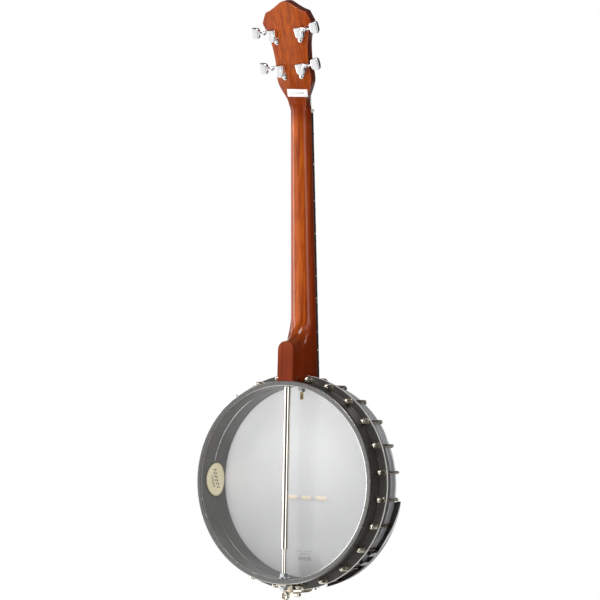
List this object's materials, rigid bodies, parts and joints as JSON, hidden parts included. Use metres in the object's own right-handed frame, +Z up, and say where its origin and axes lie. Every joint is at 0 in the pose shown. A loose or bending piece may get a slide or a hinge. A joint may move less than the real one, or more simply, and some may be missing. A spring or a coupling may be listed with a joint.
{
  "type": "open-back tenor banjo",
  "caption": "Open-back short-neck banjo: cast rim with bolted-on neck, clamped head, bracket hooks, geared tuners, forearm rest and tailpiece with a hinged lid.",
  "frame": {"origin": "middle of the headstock's flare just above the nut, where a hanger's two arms carry it", "axes": "+Z up along the neck towards the headstock's peak, the pot's open back faces +Y and its head faces -Y, +X is the treble side"},
  "size_m": [0.2964, 0.1143, 0.8223],
  "materials": {
    "hammertone": "die-cast, dark grey hammered lacquer, satin",
    "frosted_film": "frosted polyester film",
    "chrome_plate": "polished",
    "nickel_plate": "nickel plated, a little warm",
    "zinc_plate": "bright zinc plated",
    "steel": "plain",
    "brass": "brass coloured plating",
    "mahogany": "gloss red-brown lacquer",
    "dark_fingerboard": "oiled, near black",
    "bone": "polished",
    "black_gloss": "gloss black",
    "paper": "matt cream paper",
    "maple": "satin",
    "string_steel": "bare wire"
  },
  "bodies": {
    "banjo": {"rim": "hammertone", "head": "frosted_film", "tension_hoop": "chrome_plate", "bracket_01": "nickel_plate", "bracket_02": "nickel_plate", "bracket_03": "nickel_plate", "bracket_04": "nickel_plate", "bracket_05": "nickel_plate", "bracket_06": "nickel_plate", "bracket_07": "nickel_plate", "bracket_08": "nickel_plate", "bracket_09": "nickel_plate", "bracket_10": "nickel_plate", "bracket_11": "nickel_plate", "bracket_12": "nickel_plate", "bracket_13": "nickel_plate", "bracket_14": "nickel_plate", "bracket_15": "nickel_plate", "bracket_16": "nickel_plate", "bracket_17": "nickel_plate", "bracket_18": "nickel_plate", "bracket_19": "nickel_plate", "bracket_20": "nickel_plate", "bracket_21": "nickel_plate", "bracket_22": "nickel_plate", "bracket_23": "nickel_plate", "bracket_24": "nickel_plate", "armrest": "chrome_plate", "rim_label": "paper", "coordinator_rod": "nickel_plate", "rod_adjuster": "nickel_plate", "rod_inner_nut": "zinc_plate", "rod_outer_nut": "zinc_plate", "neck_bolt_lower": "steel", "neck_bolt_upper": "brass", "neck": "mahogany", "fretboard": "dark_fingerboard", "string_nut": "bone", "headstock_veneer": "black_gloss", "truss_rod_cover": "black_gloss", "tuner_housing_1": "chrome_plate", "string_1": "string_steel", "tuner_housing_2": "chrome_plate", "string_2": "string_steel", "tuner_housing_3": "chrome_plate", "string_3": "string_steel", "tuner_housing_4": "chrome_plate", "string_4": "string_steel", "bridge": "maple", "tailpiece": "nickel_plate", "tailpiece_screw": "nickel_plate"},
    "button_1": {"tuner_button_1": "chrome_plate"},
    "post_1": {"string_post_1": "chrome_plate"},
    "button_2": {"tuner_button_2": "chrome_plate"},
    "post_2": {"string_post_2": "chrome_plate"},
    "button_3": {"tuner_button_3": "chrome_plate"},
    "post_3": {"string_post_3": "chrome_plate"},
    "button_4": {"tuner_button_4": "chrome_plate"},
    "post_4": {"string_post_4": "chrome_plate"},
    "tail_lid": {"tailpiece_cover": "nickel_plate"}
  },
  "joints": [
    {"name": "button_1_turn", "type": "hinge", "parent": "banjo", "child": "button_1", "pos_m": [0.029, 0.02466, 0.03715], "axis": [1, 0, 0], "continuous": true},
    {"name": "post_1_turn", "type": "hinge", "parent": "banjo", "child": "post_1", "pos_m": [0.017, 0.00271, 0.03896], "axis": [0, 0.9548, -0.2974], "continuous": true},
    {"name": "button_2_turn", "type": "hinge", "parent": "banjo", "child": "button_2", "pos_m": [0.0345, 0.03938, 0.08441], "axis": [1, 0, 0], "continuous": true},
    {"name": "post_2_turn", "type": "hinge", "parent": "banjo", "child": "post_2", "pos_m": [0.0225, 0.01743, 0.08622], "axis": [0, 0.9548, -0.2974], "continuous": true},
    {"name": "button_3_turn", "type": "hinge", "parent": "banjo", "child": "button_3", "pos_m": [-0.03372, 0.04076, 0.08882], "axis": [-0.9903, 0.0414, 0.1329], "continuous": true},
    {"name": "post_3_turn", "type": "hinge", "parent": "banjo", "child": "post_3", "pos_m": [-0.0225, 0.01832, 0.08908], "axis": [0, 0.9548, -0.2974], "continuous": true},
    {"name": "button_4_turn", "type": "hinge", "parent": "banjo", "child": "button_4", "pos_m": [-0.02822, 0.02574, 0.04061], "axis": [-0.9903, 0.0414, 0.1329], "continuous": true},
    {"name": "post_4_turn", "type": "hinge", "parent": "banjo", "child": "post_4", "pos_m": [-0.017, 0.0033, 0.04087], "axis": [0, 0.9548, -0.2974], "continuous": true},
    {"name": "tail_lid_hinge", "type": "hinge", "parent": "banjo", "child": "tail_lid", "pos_m": [0, -0.06493, -0.67714], "axis": [1, 0, 0], "range_deg": [0, 100]}
  ],
  "couplings": [
    {"joint": "post_1_turn", "follows": "button_1_turn", "ratio": 0.066667},
    {"joint": "post_2_turn", "follows": "button_2_turn", "ratio": 0.066667},
    {"joint": "post_3_turn", "follows": "button_3_turn", "ratio": -0.066667},
    {"joint": "post_4_turn", "follows": "button_4_turn", "ratio": -0.066667}
  ]
}
